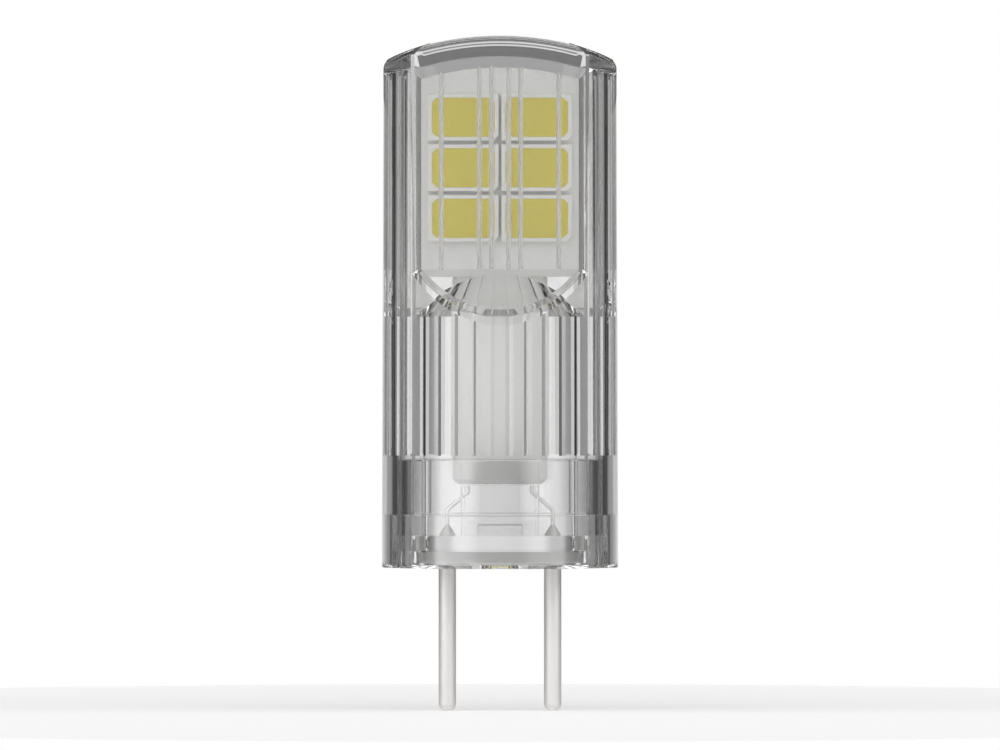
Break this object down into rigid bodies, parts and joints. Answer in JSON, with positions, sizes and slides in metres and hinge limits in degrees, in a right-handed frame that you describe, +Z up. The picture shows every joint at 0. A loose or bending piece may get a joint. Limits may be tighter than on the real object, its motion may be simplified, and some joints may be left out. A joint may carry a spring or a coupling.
{
  "type": "two-pin led capsule bulb",
  "caption": "Two-pin 12 V LED capsule bulb: a clear fluted plastic cover flattened front and back over yellow LED packages, on a clear base with two straight contact pins",
  "frame": {"origin": "centre of the base's underside, midway between the two contact pins", "axes": "+Z up from the pins to the crown of the cover, +X along the line of the two pins, and the two flat windows with their LEDs face -Y (front) and +Y (back)"},
  "size_m": [0.0142, 0.0142, 0.0406],
  "materials": {
    "clear_plastic": "clear polished polycarbonate",
    "plug_plastic": "clear moulded polycarbonate",
    "white_plastic": "white moulded insulator",
    "pin_metal": "nickel-plated, drawn",
    "sleeve_plastic": "white moulded, satin",
    "board_laminate": "green solder resist",
    "black_moulding": "black moulded epoxy",
    "capacitor_ceramic": "tan sintered ceramic",
    "ferrite": "dark grey ferrite",
    "resistor_ceramic": "black glazed film",
    "wire_metal": "tinned copper",
    "led_board_white": "white solder resist",
    "led_housing": "white moulded reflector resin",
    "phosphor": "yellow phosphor in clear silicone"
  },
  "bodies": {
    "root": {"clear_cover": "clear_plastic", "base_plug": "plug_plastic", "insulating_plate": "white_plastic", "contact_pin_left": "pin_metal", "contact_pin_right": "pin_metal", "driver_sleeve": "sleeve_plastic", "driver_board": "board_laminate", "rectifier_bridge": "black_moulding", "smoothing_capacitor": "capacitor_ceramic", "choke": "ferrite", "driver_chip": "black_moulding", "sense_resistor_left": "resistor_ceramic", "sense_resistor_right": "resistor_ceramic", "supply_wire_left": "wire_metal", "supply_wire_right": "wire_metal", "led_board": "led_board_white", "board_link_left": "wire_metal", "board_link_right": "wire_metal", "led_housing_front_1": "led_housing", "led_housing_front_2": "led_housing", "led_housing_front_3": "led_housing", "led_housing_front_4": "led_housing", "led_housing_front_5": "led_housing", "led_housing_front_6": "led_housing", "led_housing_back_1": "led_housing", "led_housing_back_2": "led_housing", "led_housing_back_3": "led_housing", "led_housing_back_4": "led_housing", "led_housing_back_5": "led_housing", "led_housing_back_6": "led_housing", "led_phosphor_front_1": "phosphor", "led_phosphor_front_2": "phosphor", "led_phosphor_front_3": "phosphor", "led_phosphor_front_4": "phosphor", "led_phosphor_front_5": "phosphor", "led_phosphor_front_6": "phosphor", "led_phosphor_back_1": "phosphor", "led_phosphor_back_2": "phosphor", "led_phosphor_back_3": "phosphor", "led_phosphor_back_4": "phosphor", "led_phosphor_back_5": "phosphor", "led_phosphor_back_6": "phosphor"}
  },
  "joints": []
}
